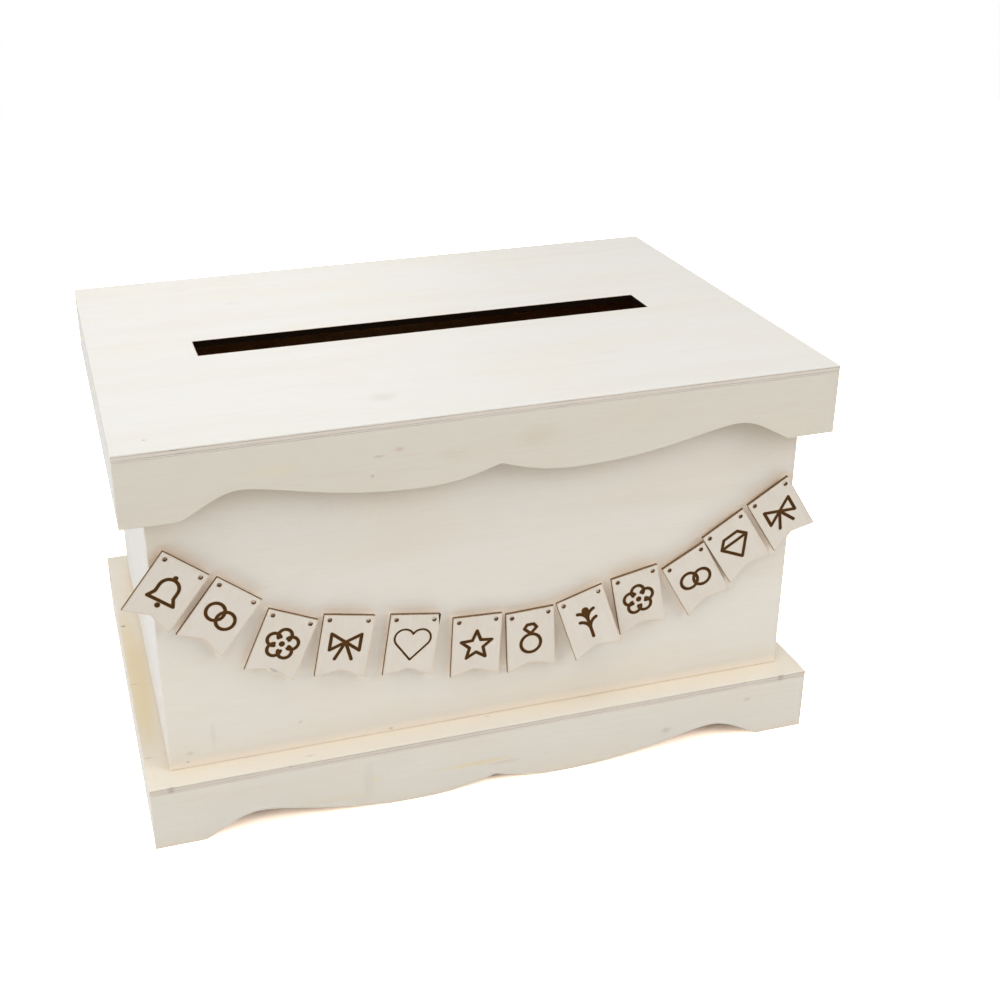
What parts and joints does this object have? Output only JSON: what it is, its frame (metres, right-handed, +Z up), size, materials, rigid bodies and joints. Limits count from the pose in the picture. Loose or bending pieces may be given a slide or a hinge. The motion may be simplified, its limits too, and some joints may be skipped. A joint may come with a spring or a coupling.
{
  "type": "wedding card box",
  "caption": "Footed wooden box for wedding cards, with a lift-off lid that has a long card slot, scalloped aprons, and small engraved pennants across the front.",
  "frame": {"origin": "the middle of the base on the surface that it stands on", "axes": "+X to the right seen from the front, along the card slot; +Y towards the back; +Z up"},
  "size_m": [0.3028, 0.21, 0.18],
  "materials": {
    "plywood": "unfinished poplar plywood, matte",
    "strip_wood": "unfinished softwood, matte",
    "pennant_wood": "laser-cut thin plywood with burnt edges and engraving, matte",
    "clear_glue": "clear, glossy"
  },
  "bodies": {
    "box": {"base_plate": "plywood", "base_front_apron": "plywood", "base_back_apron": "plywood", "base_left_apron": "plywood", "base_right_apron": "plywood", "box_front_wall": "plywood", "box_back_wall": "plywood", "box_left_wall": "plywood", "box_right_wall": "plywood", "pennant_01": "pennant_wood", "pennant_02": "pennant_wood", "pennant_03": "pennant_wood", "pennant_04": "pennant_wood", "pennant_05": "pennant_wood", "pennant_06": "pennant_wood", "pennant_07": "pennant_wood", "pennant_08": "pennant_wood", "pennant_09": "pennant_wood", "pennant_10": "pennant_wood", "pennant_11": "pennant_wood", "pennant_12": "pennant_wood", "pennant_glue_dots": "clear_glue"},
    "lid": {"lid_top": "plywood", "lid_front_apron": "plywood", "lid_back_apron": "plywood", "lid_left_apron": "plywood", "lid_right_apron": "plywood", "lid_locator_front": "strip_wood", "lid_locator_back": "strip_wood", "lid_locator_left": "strip_wood", "lid_locator_right": "strip_wood"}
  },
  "joints": [
    {"name": "lid_lift", "type": "slide", "parent": "box", "child": "lid", "axis": [0, 0, 1], "range_m": [0, 0.12]}
  ]
}
